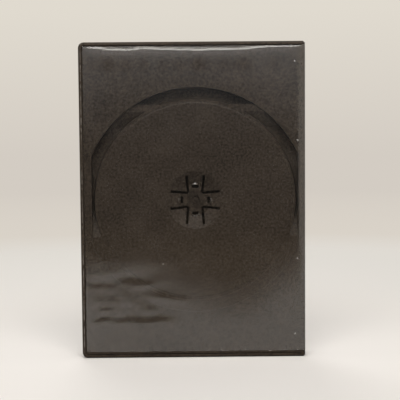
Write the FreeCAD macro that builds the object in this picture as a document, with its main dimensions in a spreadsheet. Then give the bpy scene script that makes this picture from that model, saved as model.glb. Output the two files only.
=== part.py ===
import FreeCAD, Part
import os
import re
import Sketcher
from FreeCAD import Rotation
from FreeCAD import Vector

os.makedirs("parts", exist_ok=True)
doc = FreeCAD.newDocument("DiscCase")

# A single-disc keep case. Each piece is drawn with the case lying on its front cover:
# x runs from the opening edge to the spine, y up the case, z from the front cover to the
# back of the disc tray, with z = 0 at the parting line. The Placement stands it upright.
# Depths in the disc tray are measured inwards from its back face.
SIZES = {
    "disc_radius": 60.0,
    "side_room": 7.5,
    "case_height": 190.0,
    "case_depth": 14.0,
    "corner_radius": 3.5,
    "edge_round": 1.5,
    "panel": 1.0,
    "rim_wall": 1.2,
    "lip_wall": 0.9,
    "lip_rise": 1.5,
    "lip_gap": 0.3,
    "catch_rise": 0.2,
    "catch_length": 12.0,
    "catch_offset": 45.0,
    "hinge_inset": 0.3,
    "hinge_gap": 0.05,
    "mitre_gap": 0.14,
    "hinge_end_gap": 0.3,
    "spine_end_gap": 1.0,
    "hub_offset": 1.6,
    "hub_rise": 0.5,
    "ring_reach": 7.4,
    "side_reach": 2.0,
    "well_step": 0.5,
    "land_drop": 0.4,
    "land_width": 2.0,
    "land_ramp": 0.8,
    "ridge_depth": 6.5,
    "ridge_round": 0.6,
    "disc_clearance": 0.3,
    "wall_draft": 14.0,
    "notch_top": 57.2,
    "notch_ramp_start": 53.0,
    "notch_ramp_end": 44.0,
    "low_ramp_start": 6.0,
    "low_ramp_end": 22.0,
    "seat_depth": 5.0,
    "dish_radius": 17.3,
    "seat_radius": 9.8,
    "arm_root": 14.8,
    "arm_tip": 4.2,
    "arm_gap": 0.3,
    "arm_tip_half": 3.4,
    "arm_root_half": 4.4,
    "slot_width": 1.6,
    "root_gap": 0.1,
    "root_bead": 0.45,
    "disc_thickness": 1.2,
    "lug_play": 0.3,
    "lug_radius": 7.9,
    "post_radius": 7.2,
    "post_wall": 1.5,
    "lug_height": 3.2,
    "lug_width": 4.0,
    "window_length": 1.8,
    "bead_width": 1.1,
    "bead_rise": 0.5,
    "button_radius": 3.2,
    "button_skin": 0.13,
    "skin_gap": 0.05,
    "skin_overlap": 0.6,
    "button_height": 2.8,
    "button_recess": 0.8,
    "groove_width": 0.6,
    "groove_depth": 1.0,
    "rib_rise": 0.6,
    "rib_cover": 0.2,
    "film": 0.12,
    "film_margin": 2.7,
    "film_corner": 1.0,
    "clip_offset": 58.0,
    "clip_width": 14.0,
    "clip_length": 15.0,
    "clip_stand": 2.6,
    "clip_inset": 3.6,
    "window_gap": 0.7,
}

sheet = doc.addObject("Spreadsheet::Sheet", "Sizes")
for row, (alias, number) in enumerate(SIZES.items(), start=1):
    sheet.set(f"A{row}", alias)
    sheet.set(f"B{row}", str(number))
    sheet.setAlias(f"B{row}", alias)
doc.recompute()

# Values that follow from the sizes.
BACK = "case_depth / 2"
FRONT = "-case_depth / 2"
LEFT = "-(disc_radius + side_room)"
RIGHT = "(disc_radius + side_room)"
HUB_X = "hub_offset"
MIDDLE_Y = "case_height / 2"
HUB_Y = "(case_height / 2 + hub_rise)"
HINGE_X = f"{RIGHT} - hinge_inset"
PANEL_END = f"{HINGE_X} - hinge_inset - hinge_gap"
WALL_END = f"{RIGHT} - panel - hinge_end_gap"
WALL_RUN = "panel / cos(wall_draft)"
WELL_RADIUS = "(disc_radius + ring_reach)"
WELL_HALF_WIDTH = "(disc_radius + side_reach)"
STEP_FLOOR = "(well_step + panel)"
LAND = "(well_step + land_drop)"
LAND_FLOOR = "(well_step + land_drop + panel)"
LIP_INSET = "(rim_wall + lip_gap)"
SEAT_BACK = "(seat_depth - panel)"
CHANNEL_FLOOR = "(ridge_depth - panel)"
ARM_AXIS = "(arm_root - root_gap - root_bead)"


def linked(expression):
    """Points each size named in the expression at its cell of the sheet."""
    return re.sub(r"[a-z_]+", lambda word: f"Sizes.{word[0]}" if word[0] in SIZES else word[0], expression)


def value(expression):
    return float(sheet.evalExpression(linked(expression)))


def bind(item, name, expression):
    item.setExpression(name, linked(expression))


def below_back(depth):
    """The height of a point at this depth behind the back face of the tray."""
    return f"{BACK} - ({depth})"


def new_body(label):
    return doc.addObject("PartDesign::Body", label)


def new_sketch(body, name, plane, height):
    sketch = body.newObject("Sketcher::SketchObject", name)
    support = next(item for item in body.Origin.OriginFeatures if item.Role == plane)
    sketch.AttachmentSupport = [(support, "")]
    sketch.MapMode = "FlatFace"
    bind(sketch, "AttachmentOffset.Base.z", height)
    return sketch


def constrain(sketch, kind, places, expression):
    number = sketch.addConstraint(Sketcher.Constraint(kind, *places, value(expression)))
    bind(sketch, f"Constraints[{number}]", expression)


def pin(sketch, item, end, across=None, along=None):
    """Holds one point of a sketch at bound distances from its origin."""
    if across is not None:
        constrain(sketch, "DistanceX", (-1, 1, item, end), across)
    if along is not None:
        constrain(sketch, "DistanceY", (-1, 1, item, end), along)


def join(sketch, items):
    """Closes a loop of lines and arcs, each given as (item, start, end)."""
    for (item, _, end), (following, start, _) in zip(items, items[1:] + items[:1]):
        sketch.addConstraint(Sketcher.Constraint("Coincident", item, end, following, start))


def add_polygon(sketch, points):
    corners = [Vector(value(across), value(along), 0) for across, along in points]
    lines = []
    for corner, following in zip(corners, corners[1:] + corners[:1]):
        lines.append((sketch.addGeometry(Part.LineSegment(corner, following), False), 1, 2))
    join(sketch, lines)
    for (line, start, _), (across, along) in zip(lines, points):
        pin(sketch, line, start, across, along)


def add_circle(sketch, across, along, radius):
    centre = Vector(value(across), value(along), 0)
    circle = sketch.addGeometry(Part.Circle(centre, Vector(0, 0, 1), value(radius)), False)
    pin(sketch, circle, 3, across, along)
    constrain(sketch, "Radius", (circle,), radius)


def add_arc(sketch, centre, radius, start, end):
    """Adds an arc that runs anticlockwise from one point to another."""
    angles = [(point - centre).getAngle(Vector(1, 0, 0)) for point in (start, end)]
    turns = [angle if point.y >= centre.y else -angle for angle, point in zip(angles, (start, end))]
    circle = Part.Circle(centre, Vector(0, 0, 1), value(radius))
    return sketch.addGeometry(Part.ArcOfCircle(circle, *turns), False)


def add_outline(sketch, corners):
    """A loop of upright and level lines; a corner with a third value is rounded to that radius."""
    spots = [Vector(value(corner[0]), value(corner[1]), 0) for corner in corners]
    items = []
    pins = []
    for place, corner in enumerate(corners):
        back = (spots[place - 1] - spots[place]).normalize()
        on = (spots[(place + 1) % len(spots)] - spots[place]).normalize()
        if len(corner) == 2:
            pins.append((corner, corner))
            continue
        radius = corner[2]
        ends = []
        for way in (back, on):
            across = f"{corner[0]} + {round(way.x)} * ({radius})"
            along = f"{corner[1]} + {round(way.y)} * ({radius})"
            ends.append((across, along))
        centre = spots[place] + (back + on) * value(radius)
        start, end = [Vector(value(across), value(along), 0) for across, along in ends]
        if on.cross(back).z > 0:
            arc = (add_arc(sketch, centre, radius, start, end), 1, 2)
        else:
            arc = (add_arc(sketch, centre, radius, end, start), 2, 1)
        constrain(sketch, "Radius", (arc[0],), radius)
        pins.append((ends[0], ends[1], arc))
    for entry, following in zip(pins, pins[1:] + pins[:1]):
        start = entry[1]
        end = following[0]
        points = [Vector(value(across), value(along), 0) for across, along in (start, end)]
        line = sketch.addGeometry(Part.LineSegment(*points), False)
        pin(sketch, line, 1, *start)
        if len(following) == 3:
            pin(sketch, line, 2, *end)
        items.append((line, 1, 2))
        if len(following) == 3:
            items.append(following[2])
    join(sketch, items)


def case_corners(inset, right, radius):
    """Corners of a case-shaped loop: square towards the spine, rounded at the opening edge."""
    left = f"{LEFT} + {inset}"
    top = f"case_height - {inset}"
    return [(right, top), (left, top, radius), (left, inset, radius), (right, inset)]


def rim_corners(outer, inner, right, outer_radius, inner_radius):
    """Corners of a rim that runs along the top, the opening edge and the bottom."""
    inside = case_corners(inner, right, inner_radius)
    return case_corners(outer, right, outer_radius) + inside[::-1]


def add_clipped_circle(sketch, radius, half_width):
    """A circle round the hub, cut off by an upright line on each side."""
    centre = Vector(value(HUB_X), value(HUB_Y), 0)
    reach = value(half_width)
    rise = (value(radius) ** 2 - reach ** 2) ** 0.5
    corners = [centre + Vector(x * reach, y * rise, 0) for x, y in ((1, 1), (-1, 1), (-1, -1), (1, -1))]
    top_arc = add_arc(sketch, centre, radius, corners[0], corners[1])
    left_line = sketch.addGeometry(Part.LineSegment(corners[1], corners[2]), False)
    bottom_arc = add_arc(sketch, centre, radius, corners[2], corners[3])
    right_line = sketch.addGeometry(Part.LineSegment(corners[3], corners[0]), False)
    join(sketch, [(item, 1, 2) for item in (top_arc, left_line, bottom_arc, right_line)])
    for arc in (top_arc, bottom_arc):
        pin(sketch, arc, 3, HUB_X, HUB_Y)
        constrain(sketch, "Radius", (arc,), radius)
    for end in (1, 2):
        pin(sketch, left_line, end, f"{HUB_X} - ({half_width})")
        pin(sketch, right_line, end, f"{HUB_X} + {half_width}")


def extrude(body, kind, name, sketch, length, reverse=False):
    feature = body.newObject(f"PartDesign::{kind}", name)
    feature.Profile = sketch
    feature.Reversed = reverse
    bind(feature, "Length", length)
    doc.recompute()
    return feature


def pad(body, name, sketch, length, reverse=False):
    return extrude(body, "Pad", name, sketch, length, reverse)


def pocket(body, name, sketch, length, reverse=False):
    before = body.Shape.Volume
    extrude(body, "Pocket", name, sketch, length, reverse)
    if body.Shape.Volume > before - 1e-6:
        raise ValueError(f"{name} takes nothing away")


def turn(body, kind, name, points, at_hub=False):
    """Turns a profile of (radius, height) corners about the hub's axis, or about the z axis."""
    sketch = new_sketch(body, f"{name}Profile", "XZ_Plane", f"-({HUB_Y})" if at_hub else "0")
    if at_hub:
        bind(sketch, "AttachmentOffset.Base.x", HUB_X)
    add_polygon(sketch, points)
    doc.recompute()
    feature = body.newObject(f"PartDesign::{kind}", name)
    feature.Profile = sketch
    feature.ReferenceAxis = (sketch, ["V_Axis"])
    feature.Angle = 360
    doc.recompute()


def round_edges(body, name, radius, chosen):
    """Rounds those edges of the body so far that the test picks by their middle points."""
    base = body.Tip
    names = []
    for number, edge in enumerate(base.Shape.Edges, start=1):
        middle = edge.valueAt((edge.FirstParameter + edge.LastParameter) / 2)
        if chosen(middle):
            names.append(f"Edge{number}")
    feature = body.newObject("PartDesign::Fillet", name)
    feature.Base = (base, names)
    bind(feature, "Radius", radius)
    doc.recompute()


def stand_up(item, label, at_hub=False, quarter_turns=0):
    """Names the piece and stands it upright; hub pieces are drawn about the hub's axis."""
    item.Label = label
    item.Placement.Rotation = Rotation(Vector(1, 0, 0), 90) * Rotation(Vector(0, 0, 1), 90 * quarter_turns)
    if at_hub:
        bind(item, "Placement.Base.x", HUB_X)
        bind(item, "Placement.Base.z", HUB_Y)
    return item


def inner_radius(inset):
    """The corner radius that keeps the wall even at this inset."""
    return f"max(0.3; corner_radius - {inset})"


def half_shell(label, side):
    """Rim, panel, hinge edge and film groove of one half; side is 1 for the tray, -1 for the cover."""
    body = new_body(f"{label}_shell")
    outline = new_sketch(body, f"{label}_outline", "XY_Plane", "0")
    add_outline(outline, case_corners("0", PANEL_END, "corner_radius"))
    pad(body, f"{label}_block", outline, BACK, side < 0)
    face = side * value(BACK)
    end = value(PANEL_END)
    round_edges(
        body,
        f"{label}_edges",
        "edge_round",
        lambda middle: abs(middle.z - face) < 1e-4 and middle.x < end - 1e-4,
    )
    hollow = new_sketch(body, f"{label}_hollow", "XY_Plane", "0")
    add_outline(hollow, case_corners("rim_wall", f"{RIGHT} + panel", inner_radius("rim_wall")))
    pocket(body, f"{label}_inside", hollow, f"{BACK} - panel", side > 0)
    rib = new_sketch(body, f"{label}_groove_rib_outline", "XY_Plane", f"{side} * ({BACK} - panel / 2)")
    rib_inset = "(film_margin + rib_cover)"
    add_outline(rib, rim_corners("rim_wall / 2", rib_inset, WALL_END, "corner_radius / 2", "film_corner"))
    pad(body, f"{label}_groove_rib", rib, "panel / 2 + rib_rise", side > 0)
    mitre = new_sketch(body, f"{label}_mitre", "XZ_Plane", "0")
    mitre_start = f"{side} * ({BACK} - (2 * hinge_inset + hinge_gap - mitre_gap))"
    mitre_end = f"{side} * ({BACK} - panel)"
    beyond = f"{RIGHT} + panel"
    add_polygon(
        mitre,
        [
            (PANEL_END, mitre_start),
            (f"{RIGHT} - panel - mitre_gap", mitre_end),
            (WALL_END, mitre_end),
            (WALL_END, "0"),
            (beyond, "0"),
            (beyond, mitre_start),
        ],
    )
    pocket(body, f"{label}_hinge_edge", mitre, "case_height")
    groove = new_sketch(body, f"{label}_groove", "XY_Plane", f"{side} * {BACK}")
    outer = "(film_margin - groove_width)"
    outer_radius = "(film_corner + groove_width)"
    groove_end = f"({WALL_END} - panel)"
    add_outline(groove, rim_corners(outer, "film_margin", groove_end, outer_radius, "film_corner"))
    pocket(body, f"{label}_film_groove", groove, "groove_depth", side < 0)
    return body


def add_catches(body, name, start, end, height, length):
    """A pair of short ribs along the opening edge that snap past those of the other half."""
    sketch = new_sketch(body, f"{name}Outline", "XY_Plane", height)
    for sign in ("+", "-"):
        middle = f"{MIDDLE_Y} {sign} catch_offset"
        low = f"{middle} - catch_length / 2"
        high = f"{middle} + catch_length / 2"
        add_outline(sketch, [(start, low), (end, low), (end, high), (start, high)])
    pad(body, name, sketch, length)


def cut_notches(body, name, top, floor, low_floor, crest):
    """Cuts the ridge down at the finger notches above the hub and all round the lower half of the disc."""
    half_length = f"({WELL_HALF_WIDTH} + 2 * panel)"
    sketch = new_sketch(body, f"{name}Profile", "YZ_Plane", f"{HUB_X} + {half_length}")
    add_polygon(
        sketch,
        [
            (f"{HUB_Y} + ({top})", below_back(floor)),
            (f"{HUB_Y} + ({top})", below_back(crest)),
            (f"{HUB_Y} + notch_ramp_end", below_back(crest)),
            (f"{HUB_Y} + notch_ramp_start", below_back(floor)),
        ],
    )
    bottom = f"{HUB_Y} - ({WELL_RADIUS} + 2 * panel)"
    add_polygon(
        sketch,
        [
            (bottom, below_back(low_floor)),
            (bottom, below_back(crest)),
            (f"{HUB_Y} - low_ramp_start", below_back(crest)),
            (f"{HUB_Y} - low_ramp_end", below_back(low_floor)),
        ],
    )
    pocket(body, name, sketch, f"2 * {half_length}")


def well_wall(depth):
    """The radius of the wall round the disc, on its inner face, at a depth."""
    return f"(disc_radius + disc_clearance + (({depth}) - seat_depth) * tan(wall_draft))"


def dish_profile():
    """The conical disc seat round the hub, with its flat middle."""
    return [
        ("0", below_back(SEAT_BACK)),
        ("seat_radius", below_back(SEAT_BACK)),
        ("dish_radius", below_back("well_step")),
        ("dish_radius", below_back(STEP_FLOOR)),
        ("seat_radius", below_back("seat_depth")),
        ("0", below_back("seat_depth")),
    ]


def dish_middle(radius):
    """The depth of the middle of the dish's wall at a radius on its cone."""
    slope = f"({SEAT_BACK} - well_step) / (dish_radius - seat_radius)"
    return f"seat_depth - panel / 2 - ({radius} - seat_radius) * {slope}"


def channel_core():
    """The hollow behind the ridge: an arch over the upper half of the disc, with gaps at the notches."""
    body = new_body("channel_core")
    outline = new_sketch(body, "ChannelOutline", "XY_Plane", below_back("well_step"))
    add_clipped_circle(outline, WELL_RADIUS, WELL_HALF_WIDTH)
    pad(body, "ChannelBlock", outline, f"{CHANNEL_FLOOR} - well_step", True)
    near = well_wall("well_step - panel")
    far = well_wall(f"{CHANNEL_FLOOR} + panel")
    turn(
        body,
        "Groove",
        "ChannelMiddle",
        [
            ("0", below_back("well_step - panel")),
            (f"{near} + {WALL_RUN}", below_back("well_step - panel")),
            (f"{far} + {WALL_RUN}", below_back(f"{CHANNEL_FLOOR} + panel")),
            ("0", below_back(f"{CHANNEL_FLOOR} + panel")),
        ],
        at_hub=True,
    )
    cut_notches(body, "ChannelNotches", "notch_top", LAND, "well_step", CHANNEL_FLOOR)
    return body


def on_ridge(middle, crown):
    """Picks the edges of the ridge's flat top, and leaves those of the rim alone."""
    reach = Vector(middle.x - value(HUB_X), middle.y - value(HUB_Y), 0).Length
    return abs(middle.z - crown) < 1e-4 and reach < value(WELL_RADIUS) + 2 * value("panel")


def tray_shell():
    body = half_shell("tray", 1)
    lip_inner = f"({LIP_INSET} + lip_wall)"
    lip_radius = inner_radius(lip_inner)
    root = new_sketch(body, "LipRootOutline", "XY_Plane", "0")
    root_radius = inner_radius("rim_wall / 2")
    add_outline(root, rim_corners("rim_wall / 2", lip_inner, WALL_END, root_radius, lip_radius))
    pad(body, "LipRoot", root, "lip_rise")
    lip = new_sketch(body, "LipOutline", "XY_Plane", "-lip_rise")
    add_outline(lip, rim_corners(LIP_INSET, lip_inner, WALL_END, inner_radius(LIP_INSET), lip_radius))
    pad(body, "Lip", lip, "1.5 * lip_rise")
    lip_face = f"{LEFT} + {LIP_INSET}"
    add_catches(body, "LipCatches", f"{lip_face} - catch_rise", f"{lip_face} + lip_wall / 2",
                "-0.9 * lip_rise", "0.4 * lip_rise")
    block = new_sketch(body, "WellBlockOutline", "XY_Plane", below_back("ridge_depth"))
    add_clipped_circle(block, f"({WELL_RADIUS} + panel)", f"({WELL_HALF_WIDTH} + panel)")
    pad(body, "WellBlock", block, "ridge_depth - panel / 2")
    floor_radius = f"({well_wall(LAND)} + {WALL_RUN} - land_width)"
    turn(
        body,
        "Groove",
        "DiscSpace",
        [
            ("0", below_back(STEP_FLOOR)),
            (f"{floor_radius} - 0.7 * panel", below_back(STEP_FLOOR)),
            (f"{floor_radius} - 0.7 * panel", below_back(LAND_FLOOR)),
            (well_wall(LAND_FLOOR), below_back(LAND_FLOOR)),
            (well_wall("ridge_depth + panel"), below_back("ridge_depth + panel")),
            ("0", below_back("ridge_depth + panel")),
        ],
        at_hub=True,
    )
    recess = new_sketch(body, "WellRecessOutline", "XY_Plane", BACK)
    add_clipped_circle(recess, WELL_RADIUS, WELL_HALF_WIDTH)
    pocket(body, "WellRecess", recess, "well_step")
    land_start = f"{floor_radius} - land_ramp / 2"
    land_end = f"{floor_radius} + land_width"
    turn(
        body,
        "Groove",
        "LandRecess",
        [
            (land_start, below_back("well_step / 2")),
            (land_start, below_back("well_step")),
            (f"{floor_radius} + land_ramp / 2", below_back(LAND)),
            (land_end, below_back(LAND)),
            (f"{land_end} + land_ramp / 2", below_back("well_step")),
            (f"{land_end} + land_ramp / 2", below_back("well_step / 2")),
        ],
        at_hub=True,
    )
    cut_notches(body, "FingerNotches", "notch_top - panel", LAND_FLOOR, LAND_FLOOR, "ridge_depth")
    crown = value(below_back("ridge_depth"))
    round_edges(body, "RidgeEdges", "ridge_round", lambda middle: on_ridge(middle, crown))
    eye = new_sketch(body, "DishEye", "XY_Plane", below_back("well_step"))
    add_circle(eye, HUB_X, HUB_Y, "dish_radius")
    pocket(body, "DishOpening", eye, "panel")
    turn(body, "Revolution", "Dish", dish_profile(), at_hub=True)
    cross = new_sketch(body, "ArmOpeningOutline", "XY_Plane", BACK)
    tip = "(arm_tip_half + slot_width)"
    root = "(arm_root_half + slot_width)"
    arm = [(f"-{tip}", tip), (f"-{root}", "arm_root"), (root, "arm_root")]
    corners = []
    for quarter in range(4):
        corners += [(f"{HUB_X} + {across}", f"{HUB_Y} + {along}") for across, along in arm]
        arm = [(along, f"-({across})") for across, along in arm]
    add_polygon(cross, corners)
    pocket(body, "ArmOpening", cross, "seat_depth + panel")
    return body


def front_cover():
    body = half_shell("cover", -1)
    wall_face = f"{LEFT} + rim_wall"
    add_catches(body, "WallCatches", f"{LEFT} + rim_wall / 2", f"{wall_face} + catch_rise",
                "-0.35 * lip_rise", "0.35 * lip_rise")
    floor = f"{FRONT} + panel"
    clip_left = f"{LEFT} + clip_inset"
    tab_radius = "(0.45 * clip_width)"
    window = new_sketch(body, "ClipWindowOutline", "XY_Plane", floor)
    riser = new_sketch(body, "ClipRiserOutline", "XY_Plane", f"{FRONT} + panel / 2")
    tab = new_sketch(body, "ClipTabOutline", "XY_Plane", f"{floor} + clip_stand")
    for sign in ("+", "-"):
        low = f"{MIDDLE_Y} {sign} clip_offset - clip_width / 2"
        high = f"{MIDDLE_Y} {sign} clip_offset + clip_width / 2"
        tip = f"{clip_left} + clip_length"
        near = f"{clip_left} + panel + window_gap"
        add_outline(
            window,
            [
                (near, f"{low} - window_gap"),
                (f"{tip} + window_gap", f"{low} - window_gap", tab_radius),
                (f"{tip} + window_gap", f"{high} + window_gap", tab_radius),
                (near, f"{high} + window_gap"),
            ],
        )
        add_outline(
            riser,
            [
                (clip_left, low),
                (f"{clip_left} + panel", low),
                (f"{clip_left} + panel", high),
                (clip_left, high),
            ],
        )
        rounded = [(tip, low, tab_radius), (tip, high, tab_radius)]
        add_outline(tab, [(clip_left, low), *rounded, (clip_left, high)])
    pocket(body, "ClipWindows", window, "2 * panel")
    pad(body, "ClipRisers", riser, "panel / 2 + clip_stand + panel / 2")
    pad(body, "ClipTabs", tab, "panel")
    return body


def spine():
    """A flat strip with a thin round bead on each hinge line and mitred inner edges."""
    body = new_body("spine_strip")
    hinge = f"({BACK} - hinge_inset)"
    inner = f"({hinge} - (panel - hinge_inset) - mitre_gap)"
    profile = new_sketch(body, "SpineProfile", "XZ_Plane", "-spine_end_gap")
    add_polygon(
        profile,
        [
            (RIGHT, f"-{hinge}"),
            (RIGHT, hinge),
            (HINGE_X, hinge),
            (HINGE_X, f"{hinge} - mitre_gap"),
            (f"{RIGHT} - panel", inner),
            (f"{RIGHT} - panel", f"-{inner}"),
            (HINGE_X, f"-({hinge} - mitre_gap)"),
            (HINGE_X, f"-{hinge}"),
        ],
    )
    length = "case_height - 2 * spine_end_gap"
    pad(body, "SpineStrip", profile, length, True)
    beads = new_sketch(body, "HingeBeads", "XZ_Plane", "-spine_end_gap")
    add_circle(beads, HINGE_X, hinge, "hinge_inset")
    add_circle(beads, HINGE_X, f"-{hinge}", "hinge_inset")
    pad(body, "SpineBeads", beads, length, True)
    return body


def hub_button():
    body = new_body("button_body")
    half = "(arm_tip - arm_gap)"
    plate = new_sketch(body, "ButtonPlateOutline", "XY_Plane", below_back("seat_depth"))
    add_outline(plate, [(half, half), (f"-{half}", half), (f"-{half}", f"-{half}"), (half, f"-{half}")])
    pad(body, "ButtonPlate", plate, "panel + skin_gap + button_skin")
    reach = "(arm_tip + skin_overlap)"
    skin = new_sketch(body, "ButtonSkinOutline", "XY_Plane", below_back(f"{SEAT_BACK} - skin_gap"))
    corners = []
    for across, along in (("1", "1"), ("-1", "1"), ("-1", "-1"), ("1", "-1")):
        wide = [(f"{across} * {reach}", f"{along} * {half}"), (f"{across} * {half}", f"{along} * {reach}")]
        inner = (f"{across} * {half}", f"{along} * {half}")
        first, last = wide if across == along else wide[::-1]
        corners += [first, inner, last]
    add_outline(skin, corners)
    pad(body, "ButtonSkin", skin, "button_skin")
    knob = new_sketch(body, "ButtonOutline", "XY_Plane", below_back("seat_depth + button_height"))
    add_circle(knob, "0", "0", "button_radius")
    pad(body, "Button", knob, "button_height + panel / 2")
    top = value(below_back("seat_depth + button_height"))
    round_edges(body, "ButtonEdge", "button_height / 4", lambda middle: abs(middle.z - top) < 1e-4)
    skin_face = f"{SEAT_BACK} - skin_gap - button_skin"
    recess = new_sketch(body, "ButtonRecessOutline", "XY_Plane", below_back(skin_face))
    add_circle(recess, "0", "0", "button_radius - panel / 2")
    pocket(body, "ButtonRecess", recess, "button_recess")
    return body


def hub_arm(name):
    """One spring arm of the hub, pointing up, with its snap lug and the mould window under the lug."""
    body = new_body(name)
    turn(body, "Revolution", f"{name}_dish", dish_profile())
    around = new_sketch(body, f"{name}_outline", "XY_Plane", BACK)
    add_circle(around, "0", "0", "2 * dish_radius")
    add_polygon(
        around,
        [
            ("-arm_tip_half", "arm_tip"),
            ("arm_tip_half", "arm_tip"),
            ("arm_root_half", ARM_AXIS),
            ("-arm_root_half", ARM_AXIS),
        ],
    )
    pocket(body, f"{name}_trim", around, "seat_depth + panel")
    bead = new_sketch(body, f"{name}_bead_outline", "YZ_Plane", "-arm_root_half")
    add_circle(bead, ARM_AXIS, below_back(dish_middle(ARM_AXIS)), "root_bead")
    pad(body, f"{name}_bead", bead, "2 * arm_root_half")
    side = new_sketch(body, f"{name}_lug_profile", "YZ_Plane", "-lug_width / 2")
    inner = "post_radius - post_wall"
    top = below_back("seat_depth + lug_height")
    hook = "seat_depth + disc_thickness + lug_play"
    hook_end = f"{hook} + 0.6 * (lug_radius - post_radius)"
    add_polygon(
        side,
        [
            (inner, below_back("seat_depth - panel / 2")),
            ("post_radius", below_back("seat_depth - panel / 2")),
            ("post_radius", below_back(hook)),
            ("lug_radius", below_back(hook_end)),
            ("lug_radius", below_back(f"{hook_end} + panel / 4")),
            (f"{inner} + post_wall / 2", top),
            (inner, top),
        ],
    )
    pad(body, f"{name}_lug", side, "lug_width")
    window = new_sketch(body, f"{name}_window_outline", "XY_Plane", below_back(SEAT_BACK))
    far = "post_radius + window_length"
    half = "lug_width / 2"
    add_outline(window, [(half, "post_radius"), (half, far), (f"-{half}", far), (f"-{half}", "post_radius")])
    pocket(body, f"{name}_window", window, "panel")
    edge = new_sketch(body, f"{name}_window_bead_outline", "YZ_Plane", "0")
    low = below_back(f"{SEAT_BACK} + panel / 4")
    high = below_back(f"{SEAT_BACK} - bead_rise")
    add_polygon(
        edge,
        [
            (far, low),
            (f"{far} + bead_width", low),
            (f"{far} + bead_width", below_back(f"{SEAT_BACK} - bead_rise / 2")),
            (f"{far} + 0.7 * bead_width", high),
            (f"{far} + 0.3 * bead_width", high),
            (far, below_back(f"{SEAT_BACK} - bead_rise / 2")),
        ],
    )
    doc.recompute()
    bead = body.newObject("PartDesign::Revolution", f"{name}_window_bead")
    bead.Profile = edge
    bead.ReferenceAxis = (edge, ["V_Axis"])
    bead.Midplane = True
    bind(bead, "Angle", f"2 * asin({half} / ({far})) / 1 deg")
    doc.recompute()
    return body


def film_sheet(name, height, reverse):
    body = new_body(name)
    outline = new_sketch(body, f"{name}_outline", "XY_Plane", height)
    add_outline(outline, case_corners("film_margin", PANEL_END, "film_corner"))
    pad(body, f"{name}_sheet", outline, "film", reverse)
    return body


def film_spine():
    strip = doc.addObject("Part::Box", "film_spine_strip")
    half = f"({BACK} - 2 * hinge_inset)"
    bind(strip, "Length", "film")
    bind(strip, "Width", f"2 * {half}")
    bind(strip, "Height", "case_height - 2 * film_margin")
    bind(strip, "Placement.Base.x", RIGHT)
    bind(strip, "Placement.Base.y", f"-{half}")
    bind(strip, "Placement.Base.z", "film_margin")
    return strip


tray = doc.addObject("Part::Cut", "tray_cut")
tray.Base = tray_shell()
tray.Tool = channel_core()
subparts = [
    stand_up(tray, "disc_tray"),
    stand_up(spine(), "spine"),
    stand_up(front_cover(), "front_cover"),
    stand_up(hub_button(), "hub_button", at_hub=True),
]
for quarter, place in enumerate(("top", "left", "bottom", "right")):
    arm = hub_arm(f"arm_{place}")
    subparts.append(stand_up(arm, f"hub_arm_{place}", at_hub=True, quarter_turns=quarter))
subparts.append(stand_up(film_sheet("back_sheet", BACK, False), "film_back"))
subparts.append(stand_up(film_sheet("front_sheet", FRONT, True), "film_front"))
strip = film_spine()
strip.Label = "film_spine"
subparts.append(strip)
doc.recompute()

for item in doc.Objects:
    if "Invalid" in item.State or "Error" in item.State:
        raise ValueError(f"{item.Label} did not build: {item.State}")
for piece in subparts:
    if piece.Shape.isNull() or not piece.Shape.isValid():
        raise ValueError(f"{piece.Label} has no valid shape")
    if len(piece.Shape.Solids) != 1:
        raise ValueError(f"{piece.Label} is {len(piece.Shape.Solids)} solids")
    piece.Shape.exportStep(f"parts/{piece.Label}.step")
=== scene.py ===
"""A closed disc case standing on a pale floor with its back to the camera, in its clear film sleeve."""
import math

import bmesh
import bpy
from mathutils import Matrix, Vector, noise


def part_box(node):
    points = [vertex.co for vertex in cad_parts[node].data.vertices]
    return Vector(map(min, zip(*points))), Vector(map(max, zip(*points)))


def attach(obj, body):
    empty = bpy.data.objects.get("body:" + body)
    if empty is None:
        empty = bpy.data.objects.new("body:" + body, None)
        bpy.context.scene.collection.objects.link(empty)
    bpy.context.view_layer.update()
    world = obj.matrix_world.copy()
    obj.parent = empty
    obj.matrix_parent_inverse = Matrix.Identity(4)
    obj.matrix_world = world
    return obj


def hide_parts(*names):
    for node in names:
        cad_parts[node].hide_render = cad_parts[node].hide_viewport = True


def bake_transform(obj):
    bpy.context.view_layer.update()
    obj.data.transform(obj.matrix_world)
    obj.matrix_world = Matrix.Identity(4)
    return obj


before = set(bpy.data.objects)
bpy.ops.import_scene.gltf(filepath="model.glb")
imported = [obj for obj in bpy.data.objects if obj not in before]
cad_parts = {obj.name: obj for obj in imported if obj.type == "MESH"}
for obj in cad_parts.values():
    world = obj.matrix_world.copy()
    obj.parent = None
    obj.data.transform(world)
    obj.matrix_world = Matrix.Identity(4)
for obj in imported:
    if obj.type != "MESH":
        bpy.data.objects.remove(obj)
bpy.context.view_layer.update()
scene = bpy.context.scene
scene.view_settings.view_transform = "Standard"

MM = 0.001

tray_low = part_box("disc_tray")[0]
film_low, film_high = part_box("film_back")
spine_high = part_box("spine")[1]
button_low, button_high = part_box("hub_button")

# Places on the case, in millimetres; depths run inwards from the back of the tray.
BACK_FACE = tray_low.y / MM
HUB_X = 0.5 * (button_low.x + button_high.x) / MM
HUB_Z = 0.5 * (button_low.z + button_high.z) / MM
SEAT_BACK = 4.0
WELL_STEP = 0.5
DISH_RADIUS, SEAT_RADIUS = 17.3, 9.8
ARM_ROOT_HALF = 4.4


# Materials

PLASTIC_DARK, PLASTIC_LIGHT = (0.023, 0.0174, 0.0127), (0.066, 0.0499, 0.0367)
PLASTIC_IOR = 1.49
# Lighter colour painted in broken runs along the opening edge: a painted highlight on the start of its
# rounding.
EDGE_HIGHLIGHT_COLOUR = (0.2, 0.184, 0.167)
EDGE_HIGHLIGHT_FROM_EDGE, EDGE_HIGHLIGHT_HALF_WIDTH, EDGE_HIGHLIGHT_DEPTH = 1.4, 0.25, 0.8
WELD_GLOSS = 0.25


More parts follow.
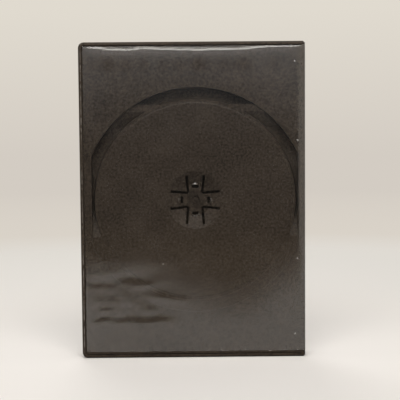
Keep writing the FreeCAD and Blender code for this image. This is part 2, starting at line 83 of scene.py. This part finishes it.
def fill_socket(tree, socket, entry):
    """Links an output to a socket, or sets a plain number or colour on it."""
    if isinstance(entry, bpy.types.NodeSocket):
        tree.links.new(entry, socket)
    else:
        socket.default_value = entry


def add_node(tree, kind, settings=None, **inputs):
    node = tree.nodes.new(kind)
    for name, setting in (settings or {}).items():
        setattr(node, name, setting)
    for name, entry in inputs.items():
        fill_socket(tree, node.inputs[name.replace("_", " ")], entry)
    return node


def new_material(name):
    material = bpy.data.materials.new(name)
    material.use_nodes = True
    material.node_tree.nodes.clear()
    return material, material.node_tree


def math_node(tree, operation, first, second=0.0, third=0.0):
    node = tree.nodes.new("ShaderNodeMath")
    node.operation = operation
    for socket, entry in zip(node.inputs, (first, second, third)):
        fill_socket(tree, socket, entry)
    return node.outputs[0]


def mix_shaders(tree, share, under, over):
    """Two shaders mixed by a share, which is a number or a field: 0 shows the first, 1 the second."""
    node = tree.nodes.new("ShaderNodeMixShader")
    for socket, entry in zip(node.inputs, (share, under.outputs[0], over.outputs[0])):
        fill_socket(tree, socket, entry)
    return node


def show(tree, shader, output="ShaderNodeOutputMaterial"):
    tree.links.new(shader.outputs[0], tree.nodes.new(output).inputs["Surface"])


def object_place(tree):
    return tree.nodes.new("ShaderNodeTexCoord").outputs["Object"]


def noise_field(tree, place, scale, detail=2.0, roughness=0.5):
    node = add_node(tree, "ShaderNodeTexNoise", Vector=place, Scale=scale, Detail=detail, Roughness=roughness)
    return node.outputs["Fac"]


def remap(tree, field, low, high, start, end):
    node = tree.nodes.new("ShaderNodeMapRange")
    tree.links.new(field, node.inputs["Value"])
    for name, entry in zip(("From Min", "From Max", "To Min", "To Max"), (low, high, start, end)):
        node.inputs[name].default_value = entry
    return node.outputs["Result"]


def colour_ramp(tree, field, stops):
    node = tree.nodes.new("ShaderNodeValToRGB")
    tree.links.new(field, node.inputs["Fac"])
    ramp = node.color_ramp
    while len(ramp.elements) < len(stops):
        ramp.elements.new(0.5)
    for element, (place, colour) in zip(ramp.elements, stops):
        element.position = place
        element.color = (*colour, 1.0)
    return node.outputs["Color"]


def srgb(red, green, blue):
    """A colour given by its screen levels, 0 to 255, as the shaders take it."""
    levels = [level / 255.0 for level in (red, green, blue)]
    return tuple(v / 12.92 if v <= 0.04045 else ((v + 0.055) / 1.055) ** 2.4 for v in levels)


def painted_edge_highlight(tree, place):
    """Painted highlight: lighter colour in broken runs along the opening edge, at the start of its rounding,
    in place of the light that the rounded edge catches.
    """
    parts = add_node(tree, "ShaderNodeSeparateXYZ", Vector=place)
    edge_line = tray_low.x + EDGE_HIGHLIGHT_FROM_EDGE * MM
    line = math_node(tree, "COMPARE", parts.outputs["X"], edge_line, EDGE_HIGHLIGHT_HALF_WIDTH * MM)
    on_back = math_node(tree, "LESS_THAN", parts.outputs["Y"], (BACK_FACE + EDGE_HIGHLIGHT_DEPTH) * MM)
    nicks = remap(tree, noise_field(tree, place, 260.0, 3.0, 0.6), 0.4, 0.55, 0.0, 1.0)
    stretches = remap(tree, noise_field(tree, place, 42.0, 2.0), 0.42, 0.55, 0.1, 1.0)
    runs = math_node(tree, "MULTIPLY", nicks, stretches)
    return math_node(tree, "MULTIPLY", math_node(tree, "MULTIPLY", line, on_back), runs)


def moulded_plastic(name, tone):
    """Black polypropylene with the fine spark-etched grain of the mould."""
    material, tree = new_material(name)
    place = object_place(tree)
    grain = noise_field(tree, place, 1500.0, 2.0)
    pebble = noise_field(tree, place, 760.0, 3.0)
    mottle = noise_field(tree, place, 60.0, 3.0, 0.5)
    flecked = math_node(tree, "MULTIPLY_ADD", mottle, 0.22, math_node(tree, "MULTIPLY", pebble, 0.78))
    # A tone below 1 darkens the whole colour; the hub button uses it as painted shade.
    dark, light = ([tone * level for level in shade] for shade in (PLASTIC_DARK, PLASTIC_LIGHT))
    moulded = colour_ramp(tree, flecked, [(0.36, dark), (0.64, light)])
    # The painted highlight along the opening edge is mixed into the base colour here.
    edge_highlighted = add_node(tree, "ShaderNodeMix", {"data_type": "RGBA"})
    tree.links.new(painted_edge_highlight(tree, place), edge_highlighted.inputs["Factor"])
    tree.links.new(moulded, edge_highlighted.inputs[6])
    edge_highlighted.inputs[7].default_value = (*EDGE_HIGHLIGHT_COLOUR, 1.0)
    relief = math_node(tree, "MULTIPLY_ADD", pebble, 0.9, grain)
    edge = add_node(tree, "ShaderNodeBevel", {"samples": 4}, Radius=0.1 * MM)
    bump = add_node(
        tree, "ShaderNodeBump", Strength=0.2, Distance=0.06 * MM, Height=relief, Normal=edge.outputs["Normal"]
    )
    shader = add_node(
        tree,
        "ShaderNodeBsdfPrincipled",
        Base_Color=edge_highlighted.outputs[2],
        Roughness=remap(tree, pebble, 0.3, 0.7, 0.42, 0.56),
        IOR=PLASTIC_IOR,
        Specular_IOR_Level=0.15,
        Normal=bump.outputs["Normal"],
    )
    show(tree, shader)
    return material


def polished_plastic():
    """The same plastic where the mould is polished, on the beads beside the hub windows."""
    material, tree = new_material("polished_polypropylene")
    place = object_place(tree)
    flow = noise_field(tree, place, 900.0, 3.0)
    shader = add_node(
        tree,
        "ShaderNodeBsdfPrincipled",
        Base_Color=colour_ramp(tree, flow, [(0.3, PLASTIC_DARK), (0.7, PLASTIC_LIGHT)]),
        Roughness=remap(tree, flow, 0.3, 0.7, 0.1, 0.2),
        IOR=PLASTIC_IOR,
        Specular_IOR_Level=0.8,
    )
    show(tree, shader)
    return material


def clear_film():
    """Thin clear polypropylene film: it lets light straight through and mirrors a few percent of it."""
    material, tree = new_material("clear_film")
    place = object_place(tree)
    handling = noise_field(tree, place, 60.0, 4.0, 0.6)
    ripple = noise_field(tree, place, 260.0, 2.0)
    bump = add_node(tree, "ShaderNodeBump", Strength=0.14, Distance=0.02 * MM, Height=ripple)
    facing = add_node(tree, "ShaderNodeLayerWeight", Blend=0.5).outputs["Facing"]
    slant = math_node(tree, "POWER", facing, 5.0)
    mirrored = math_node(tree, "MULTIPLY_ADD", slant, 0.95, 0.044)
    clear = add_node(tree, "ShaderNodeBsdfTransparent", Color=(0.985, 0.985, 0.985, 1.0))
    gloss = add_node(
        tree,
        "ShaderNodeBsdfGlossy",
        Color=(1.0, 1.0, 1.0, 1.0),
        Roughness=remap(tree, handling, 0.35, 0.7, 0.1, 0.19),
        Normal=bump.outputs["Normal"],
    )
    show(tree, mix_shaders(tree, mirrored, clear, gloss))
    return material


plastic = moulded_plastic("black_polypropylene", 1.0)
# The hub button's plastic is painted 0.72 times as dark: painted shade for its recessed back.
button_shaded_plastic = moulded_plastic("button_polypropylene_painted_shade", 0.72)
polished = polished_plastic()
film = clear_film()

for name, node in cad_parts.items():
    if name.startswith("film"):
        continue
    for slot in node.material_slots:
        slot.material = button_shaded_plastic if name == "hub_button" else plastic


def new_piece(name, bm, material):
    for face in bm.faces:
        face.smooth = True
    mesh = bpy.data.meshes.new(name)
    bm.to_mesh(mesh)
    bm.free()
    mesh.materials.append(material)
    piece = bpy.data.objects.new(name, mesh)
    scene.collection.objects.link(piece)
    return piece


def add_wall(piece, name, thickness, offset):
    wall = piece.modifiers.new(name, "SOLIDIFY")
    wall.thickness = thickness * MM
    wall.offset = offset


# Film sleeve

HINGE_INSET, SIDE_INSET, FOOT_LIFT = 0.3, 0.05, 1.4
HINGE_X = (spine_high.x - HINGE_INSET * MM) / MM
HINGE_Y = 6.7
BEND_RADIUS, BOW_START = 0.7, 62.8
FILM_LEFT = film_low.x / MM + SIDE_INSET
FILM_FOOT, FILM_TOP = film_low.z / MM + FOOT_LIFT, film_high.z / MM
FILM_HEIGHT = FILM_TOP - FILM_FOOT
FILM_THICK, CUT_EDGE = 0.12, 0.05
FLAT_COLUMNS, BEND_COLUMNS, SPINE_COLUMNS = 160, 10, 8
FILM_COLUMNS = FLAT_COLUMNS + BEND_COLUMNS + SPINE_COLUMNS
FILM_ROWS = 220


def smooth_step(start, end, place):
    t = min(max((place - start) / (end - start), 0.0), 1.0)
    return t * t * (3.0 - 2.0 * t)


def between(stops, place):
    """Straight runs between (place, value) stops."""
    for (start, low), (end, high) in zip(stops, stops[1:]):
        if place <= end:
            return low + (high - low) * (place - start) / (end - start)
    return stops[-1][1]


def wave(across, up, reach, seed):
    return noise.noise(Vector((across / reach, up / reach, seed)))


def fold(across, up, middle, length, width, lean, height):
    """One soft crease: a long rounded ridge, or a trough where its height is below nothing."""
    dx, dz = across - middle[0], up - middle[1]
    turn = math.radians(lean)
    along = dx * math.cos(turn) + dz * math.sin(turn)
    aside = dz * math.cos(turn) - dx * math.sin(turn)
    return height * math.exp(-(aside / width) ** 2 - (2.0 * along / length) ** 4)


# Folds of the film over the back: middle, length, width, lean in degrees, height.
BACK_FOLDS = [
    ((-41.0, 20.6), 58.0, 4.2, 0.0, 0.62),
    ((-42.0, 29.0), 46.0, 10.0, 2.0, 0.34),
    ((-55.0, 45.4), 22.0, 2.2, -2.0, -0.10),
    ((-31.0, 44.2), 15.0, 1.8, 4.0, 0.11),
    ((-14.5, 35.6), 22.0, 2.0, -9.0, 0.14),
    ((-53.5, 29.2), 8.0, 1.9, -6.0, 0.085),
    ((-26.5, 28.6), 8.0, 1.9, 4.0, 0.08),
    ((-50.0, 36.0), 14.0, 5.0, 12.0, -0.12),
    ((-52.0, 48.5), 30.0, 2.6, 4.0, -0.10),
    ((-33.0, 49.0), 18.0, 2.4, -12.0, -0.08),
    ((-44.0, 33.5), 34.0, 2.0, -3.0, 0.045),
    ((-38.0, 58.5), 52.0, 5.0, 2.0, 0.08),
]


# Where the film's crease runs below its top edge: (across, below).
HEAD_CREASE = [
    (-66.0, 0.5), (-54.5, 0.4), (-49.0, 0.8), (-40.0, 1.2), (-34.0, 1.0), (-30.0, 0.2), (-26.0, 0.5),
    (-17.0, 0.9), (2.0, 1.2), (26.0, 1.1), (34.0, 0.8), (40.0, 0.5), (48.0, 0.2), (68.0, 0.1),
]


def head_roll(head, crease):
    """How the film rolls over to its top edge: quickly at the crease, then in a long easy curve."""
    run = max(head - crease, 0.0)
    return 1.0 - 0.5 * math.exp(-run / 0.6) - 0.5 * math.exp(-run / 3.0)


def back_relief(across, up):
    """How far the film stands off the back panel, beyond lying flat on it."""
    head, foot, edge = FILM_TOP - up, up - FILM_FOOT, across - FILM_LEFT
    low_left = smooth_step(4.0, -32.0, across) * smooth_step(66.0, 44.0, up)
    stand = 0.34 + 0.10 * wave(across, up, 55.0, 2.0) + 0.025 * wave(across, up, 19.0, 5.0)
    stand += low_left * 0.13 * wave(across * 0.55, up * 1.5, 11.0, 9.0)
    stir = 1.5 * wave(across, up, 9.0, 61.0)
    for middle, length, width, lean, height in BACK_FOLDS:
        stand += fold(across, up + stir, middle, length, width, lean, height)
    swell = 0.42 + 0.2 * math.exp(-(((across - 2.0) / 38.0) ** 2))
    swell -= 0.3 * smooth_step(22.0, 55.0, across) + 0.35 * smooth_step(-46.0, -60.0, across)
    stand += swell * smooth_step(50.0, 5.0, head)
    flutes = max(0.25 + 0.7 * wave(across, 0.0, 9.0, 3.0), 0.0)
    flutes *= 1.0 - 0.8 * smooth_step(20.0, 52.0, across)
    stand += flutes * smooth_step(16.0, 3.0, head)
    crease = between(HEAD_CREASE, across) + 0.3 * wave(across, 0.0, 4.0, 73.0)
    stand *= head_roll(head, crease)
    bow = max(across + 0.5 * wave(0.0, up, 9.0, 51.0) - BOW_START, 0.0) / (HINGE_X - BOW_START)
    stand *= 1.0 - 0.85 * min(bow, 1.0) ** 2
    stand *= smooth_step(-1.0, 1.6, foot) * smooth_step(-3.0, 9.0, edge)
    return max(stand, 0.02) + 0.16 * smooth_step(0.9, 0.1, foot)


def front_relief(across, up):
    """The same over the front cover, where the film lies smoother."""
    stand = 0.10 + 0.05 * wave(across, up, 52.0, 12.0) + 0.02 * wave(across, up, 19.0, 15.0)
    head = FILM_TOP - up
    stand += 0.25 * smooth_step(0.0, 1.9, head) * smooth_step(9.0, 2.0, head)
    stand += 0.24 * smooth_step(61.0, 66.6, across)
    edge = min(smooth_step(0.0, 3.0, across - FILM_LEFT), 1.0)
    return max(stand * (0.25 + 0.75 * edge), 0.03)


def film_point(side, relief, column, row):
    """A point of the film's middle surface; side is -1 for the back of the case and 1 for its front."""
    foot_gap = 0.12 * wave(column * 0.9, 0.0, 7.0, 21.0 + side)
    head_gap = 0.16 * wave(column * 0.9, 0.0, 6.0, 31.0 + side)
    share = between([(0, 0.0), (14, 0.02), (184, 0.95), (FILM_ROWS, 1.0)], row)
    up = FILM_FOOT + foot_gap + share * (FILM_HEIGHT + head_gap - foot_gap)
    flat_half = 0.5 * FILM_THICK
    left = FILM_LEFT + 0.35 * wave(0.0, up, 6.0, 41.0 + side) + 0.3 * wave(0.0, up, 2.0, 45.0 + side)
    if column <= FLAT_COLUMNS:
        across = between([(0, left), (1, left + CUT_EDGE), (FLAT_COLUMNS, HINGE_X)], column)
        away = -BACK_FACE + flat_half + relief(across, up)
        return Vector((across, side * away, up))
    reach = -BACK_FACE - HINGE_Y + flat_half + relief(HINGE_X, up)
    if column <= FLAT_COLUMNS + BEND_COLUMNS:
        turn = 0.5 * math.pi * (column - FLAT_COLUMNS) / BEND_COLUMNS
        return Vector((HINGE_X + reach * math.sin(turn), side * (HINGE_Y + reach * math.cos(turn)), up))
    along = (column - FLAT_COLUMNS - BEND_COLUMNS) / SPINE_COLUMNS
    settled = spine_high.x / MM + flat_half + 0.05 - HINGE_X
    out = reach + (settled - reach) * smooth_step(0.0, 0.6, along)
    return Vector((HINGE_X + out, side * HINGE_Y * (1.0 - along), up))


def sleeve_half(name, side, relief):
    bm = bmesh.new()
    bmesh.ops.create_grid(bm, x_segments=FILM_COLUMNS, y_segments=FILM_ROWS, size=0.5)
    for vert in bm.verts:
        column = round((vert.co.x + 0.5) * FILM_COLUMNS)
        row = round((vert.co.y + 0.5) * FILM_ROWS)
        vert.co = film_point(side, relief, column, row) * MM
    if side > 0:
        bmesh.ops.reverse_faces(bm, faces=bm.faces)
    piece = new_piece(name, bm, film)
    add_wall(piece, "film_thickness", FILM_THICK, 0.0)
    return piece


sleeve_back = sleeve_half("sleeve_back", -1, back_relief)
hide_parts("film_back", "film_spine")
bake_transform(sleeve_back)

sleeve_front = sleeve_half("sleeve_front", 1, front_relief)
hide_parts("film_front")
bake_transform(sleeve_front)


# Weld spots of the sleeve, and the root webs and window beads of the hub arms

# Across, up, radius.
WELD_SPOTS = [
    (63.1, 130.8, 0.6), (62.8, 59.9, 0.6), (61.4, 178.0, 0.5), (61.4, 14.2, 0.55), (-18.1, 57.2, 0.4),
]
WEB_START, WEB_END = 13.8, 15.7
WEB_RISE, WEB_BURIED = 0.07, 0.11
WEB_THICK = 0.12
BEAD_INNER, BEAD_HALF_LENGTH = 8.95, 2.35
BEAD_PROFILE = [(0.0, -0.12), (0.2, 0.74), (0.35, 0.8), (1.0, 0.52), (1.6, 0.24), (1.9, -0.1)]


def welded_film():
    """Film melted into a small clear bead, glossier than the sheet round it."""
    material, tree = new_material("welded_film")
    place = object_place(tree)
    flow = noise_field(tree, place, 2400.0, 2.0)
    clear = add_node(tree, "ShaderNodeBsdfTransparent", Color=(0.93, 0.93, 0.93, 1.0))
    gloss = add_node(
        tree,
        "ShaderNodeBsdfGlossy",
        Color=(1.0, 1.0, 1.0, 1.0),
        Roughness=remap(tree, flow, 0.3, 0.7, 0.1, 0.25),
    )
    show(tree, mix_shaders(tree, WELD_GLOSS, clear, gloss))
    return material


def weld_spots():
    bm = bmesh.new()
    for across, up, radius in WELD_SPOTS:
        bead = bmesh.ops.create_uvsphere(bm, u_segments=20, v_segments=12, radius=radius * MM)["verts"]
        bmesh.ops.scale(bm, vec=(1.0, 0.45, 1.0), verts=bead)
        away = BACK_FACE - FILM_THICK - back_relief(across, up)
        bmesh.ops.translate(bm, vec=Vector((across, away, up)) * MM, verts=bead)
    return new_piece("weld_spots", bm, welded_film())


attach(weld_spots(), "tray")


def on_seat(across, along, proud, quarter):
    """A point over the hub seat, on the arm that lies this many quarter turns from the top one."""
    turn = Matrix.Rotation(quarter * 0.5 * math.pi, 3, "Y")
    beside_hub = turn @ Vector((across, BACK_FACE + SEAT_BACK - proud, along))
    return (beside_hub + Vector((HUB_X, 0.0, HUB_Z))) * MM


def on_dish(across, along, proud, quarter):
    """The same over the cone that rises from the seat to the disc well."""
    rise = (SEAT_BACK - WELL_STEP) * (math.hypot(across, along) - SEAT_RADIUS) / (DISH_RADIUS - SEAT_RADIUS)
    return on_seat(across, along, proud + rise, quarter)


def root_web(name, quarter):
    """The thin bridge of plastic at an arm's root; this piece stays fixed and does not bend as the arm tilts.
    """
    bm = bmesh.new()
    bmesh.ops.create_grid(bm, x_segments=16, y_segments=10, size=0.5)
    for vert in bm.verts:
        across = 2.0 * ARM_ROOT_HALF * vert.co.x
        along = WEB_START + (WEB_END - WEB_START) * (vert.co.y + 0.5)
        rise = WEB_RISE - WEB_BURIED * (2.0 * vert.co.y) ** 2
        vert.co = on_dish(across, along, rise, quarter)
    web = new_piece(name, bm, plastic)
    add_wall(web, "web_thickness", WEB_THICK, -1.0)
    return web


def window_bead(name, quarter):
    """The polished bead along the outer edge of an arm's window: a crescent that slopes away from the hub."""
    bm = bmesh.new()
    bmesh.ops.create_grid(bm, x_segments=24, y_segments=14, size=0.5)
    for vert in bm.verts:
        share = 1.0 - (2.0 * vert.co.x) ** 2
        reach = BEAD_PROFILE[-1][0] * (vert.co.y + 0.5)
        along, proud = BEAD_INNER + reach * share, between(BEAD_PROFILE, reach) * share
        vert.co = on_seat(2.0 * BEAD_HALF_LENGTH * vert.co.x, along, proud, quarter)
    bead = new_piece(name, bm, polished)
    add_wall(bead, "bead_thickness", WEB_THICK, -1.0)
    return bead


for quarter, side in enumerate(("top", "right", "bottom", "left")):
    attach(window_bead(f"window_bead_{side}", quarter), f"arm_{side}")
    web = root_web(f"root_web_{side}", quarter)
    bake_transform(web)


# Floor, dim side of the room, world, lights and camera; lengths here are in metres

PALE_FAR = srgb(211, 204, 195)
PALE_TOP = srgb(224, 218, 207)
FLOOR_SPAN = 2.5
SHADOW_END, GLOW_START = 0.2, 0.6


def seen_rays(tree):
    """1 for rays that come from the camera, a gloss or a clear surface, 0 for those that light the object."""
    path = tree.nodes.new("ShaderNodeLightPath")
    either = math_node(tree, "MAXIMUM", path.outputs["Is Camera Ray"], path.outputs["Is Glossy Ray"])
    return math_node(tree, "MAXIMUM", either, path.outputs["Is Transmission Ray"])


def pale_floor():
    """Pale paper that keeps the shadow near the case and runs into the backdrop far from it; its colour is
    painted darker away from the case as painted falloff of the light, and far from the case it glows, with no
    lamp.
    """
    material, tree = new_material("pale_floor")
    place = object_place(tree)
    away = add_node(tree, "ShaderNodeVectorMath", {"operation": "LENGTH"})
    tree.links.new(place, away.inputs[0])
    share = math_node(tree, "DIVIDE", away.outputs["Value"], FLOOR_SPAN)
    colour = colour_ramp(
        tree,
        share,
        [
            (0.03, srgb(238, 235, 232)),
            (0.125, srgb(231, 228, 223)),
            (0.21, srgb(225, 221, 214)),
            (0.32, srgb(217, 210, 200)),
            (0.9, PALE_FAR),
        ],
    )
    matt = add_node(tree, "ShaderNodeBsdfDiffuse", Color=colour)
    dull = add_node(tree, "ShaderNodeBsdfDiffuse", Color=(0.4, 0.385, 0.365, 1.0))
    # Far from the case the floor glows in the painted colour instead of being lit: painted light for the
    # backdrop.
    backdrop_painted_glow = add_node(tree, "ShaderNodeEmission", Color=colour, Strength=1.0)
    far = remap(tree, away.outputs["Value"], SHADOW_END, GLOW_START, 0.0, 1.0)
    shown = mix_shaders(tree, far, matt, backdrop_painted_glow)
    show(tree, mix_shaders(tree, seen_rays(tree), dull, shown))
    return material


def flat_piece(name, corners, material):
    bm = bmesh.new()
    bm.faces.new([bm.verts.new(corner) for corner in corners])
    mesh = bpy.data.meshes.new(name)
    bm.to_mesh(mesh)
    bm.free()
    piece = bpy.data.objects.new(name, mesh)
    mesh.materials.append(material)
    scene.collection.objects.link(piece)
    return piece


FLOOR_REACH = 6.0
floor = flat_piece(
    "floor",
    [
        (-FLOOR_REACH, -FLOOR_REACH, 0),
        (FLOOR_REACH, -FLOOR_REACH, 0),
        (FLOOR_REACH, FLOOR_REACH, 0),
        (-FLOOR_REACH, FLOOR_REACH, 0),
    ],
    pale_floor(),
)


DIM_WARM = (0.14, 0.105, 0.065)


def dim_room():
    """The unlit side of the room, behind the camera, which the film mirrors above the edge of the floor: an
    emitting sheet, painted shade low down and painted light higher up.
    """
    material, tree = new_material("dim_room")
    place = object_place(tree)
    height = add_node(tree, "ShaderNodeSeparateXYZ", Vector=place).outputs["Z"]
    # Painted shade near the floor; from about a quarter of a metre up the sheet glows as painted light of the
    # lit wall.
    level = colour_ramp(
        tree,
        height,
        [
            (0.0, DIM_WARM),
            (0.035, (0.035, 0.032, 0.028)),
            (0.156, (0.03, 0.03, 0.03)),
            (0.256, (0.48, 0.485, 0.495)),
            (0.326, (0.9, 0.88, 0.86)),
        ],
    )
    show(tree, add_node(tree, "ShaderNodeEmission", Color=level, Strength=1.0))
    return material


def dim_floor():
    """The unlit floor, as a dark emitting sheet of painted shade over the pale floor: it comes nearest the
    case in the middle, and its edge is soft.
    """
    material, tree = new_material("dim_floor")
    place = object_place(tree)
    parts = add_node(tree, "ShaderNodeSeparateXYZ", Vector=place)
    from_left = remap(tree, parts.outputs["X"], -0.06, 0.02, 0.0, 1.0)
    from_right = remap(tree, parts.outputs["X"], 0.092, 0.045, 0.0, 1.0)
    nearer = math_node(tree, "MULTIPLY", from_left, from_right)
    from_case = math_node(tree, "MULTIPLY", parts.outputs["Y"], -1.0)
    distance = math_node(tree, "MULTIPLY_ADD", nearer, 0.15, from_case)
    unlit = remap(tree, distance, 0.265, 0.464, 0.0, 1.0)
    clear = tree.nodes.new("ShaderNodeBsdfTransparent")
    dark = add_node(tree, "ShaderNodeEmission", Color=(*DIM_WARM, 1.0), Strength=1.0)
    show(tree, mix_shaders(tree, unlit, clear, dark))
    return material


ROOM_Y = -0.6
ROOM_LEFT, ROOM_RIGHT, ROOM_TOP = -0.5, 0.17, 0.5
LIT_END, FLOOR_LIFT = -0.08, 0.0005
room_wall = flat_piece(
    "room_wall",
    [
        (ROOM_LEFT, ROOM_Y, 0),
        (ROOM_RIGHT, ROOM_Y, 0),
        (ROOM_RIGHT, ROOM_Y, ROOM_TOP),
        (ROOM_LEFT, ROOM_Y, ROOM_TOP),
    ],
    dim_room(),
)
room_floor = flat_piece(
    "room_floor",
    [
        (ROOM_LEFT, ROOM_Y, FLOOR_LIFT),
        (ROOM_RIGHT, ROOM_Y, FLOOR_LIFT),
        (ROOM_RIGHT, LIT_END, FLOOR_LIFT),
        (ROOM_LEFT, LIT_END, FLOOR_LIFT),
    ],
    dim_floor(),
)
for unlit in (room_wall, room_floor):
    unlit.visible_camera = False
    unlit.visible_transmission = False

world = bpy.data.worlds.new("pale_room")
scene.world = world
world.use_nodes = True
room = world.node_tree
room.nodes.clear()
direction = room.nodes.new("ShaderNodeTexCoord").outputs["Generated"]
rise = add_node(room, "ShaderNodeSeparateXYZ", Vector=direction).outputs["Z"]
backdrop = colour_ramp(room, rise, [(0.0, PALE_FAR), (0.17, PALE_TOP)])
seen = add_node(room, "ShaderNodeBackground", Color=backdrop, Strength=1.0)
light = add_node(room, "ShaderNodeBackground", Color=(1.0, 0.975, 0.94, 1.0), Strength=0.45)
show(room, mix_shaders(room, seen_rays(room), light, seen), "ShaderNodeOutputWorld")


def soft_lamp(name, place, target, size, power, colour):
    data = bpy.data.lights.new(name, "AREA")
    data.shape = "RECTANGLE"
    data.size, data.size_y = size
    data.energy = power
    data.color = colour
    lamp = bpy.data.objects.new(name, data)
    lamp.location = place
    lamp.rotation_euler = (Vector(target) - Vector(place)).to_track_quat("-Z", "Y").to_euler()
    scene.collection.objects.link(lamp)


soft_lamp("ceiling_softbox", (0.0, -0.64, 0.86), (0, -0.02, 0.1), (0.9, 0.6), 7.7, (1.0, 0.97, 0.93))
soft_lamp("rear_fill", (-0.3, 1.1, 0.9), (0, 0, 0.1), (0.8, 0.6), 5.5, (1.0, 0.97, 0.94))

CAMERA_PLACE = Vector((1.0, -500.0, 122.6)) * MM
YAW, PITCH, ROLL = (math.radians(turn) for turn in (0.4, 3.14, -0.46))
SENSOR = 36.0
FOCAL_PIXELS = 823.0
IMAGE_SIDE = 400.0
ahead = Vector((math.sin(YAW) * math.cos(PITCH), math.cos(YAW) * math.cos(PITCH), -math.sin(PITCH)))
right = Vector((math.cos(YAW), -math.sin(YAW), 0.0))
upward = right.cross(ahead)
turned_right = math.cos(ROLL) * right + math.sin(ROLL) * upward
turned_up = math.cos(ROLL) * upward - math.sin(ROLL) * right
lens = bpy.data.cameras.new("camera")
lens.sensor_width = SENSOR
lens.lens = FOCAL_PIXELS * SENSOR / IMAGE_SIDE
camera = bpy.data.objects.new("camera", lens)
pose = Matrix((turned_right, turned_up, -ahead)).transposed().to_4x4()
pose.translation = CAMERA_PLACE
camera.matrix_world = pose
scene.collection.objects.link(camera)
scene.camera = camera
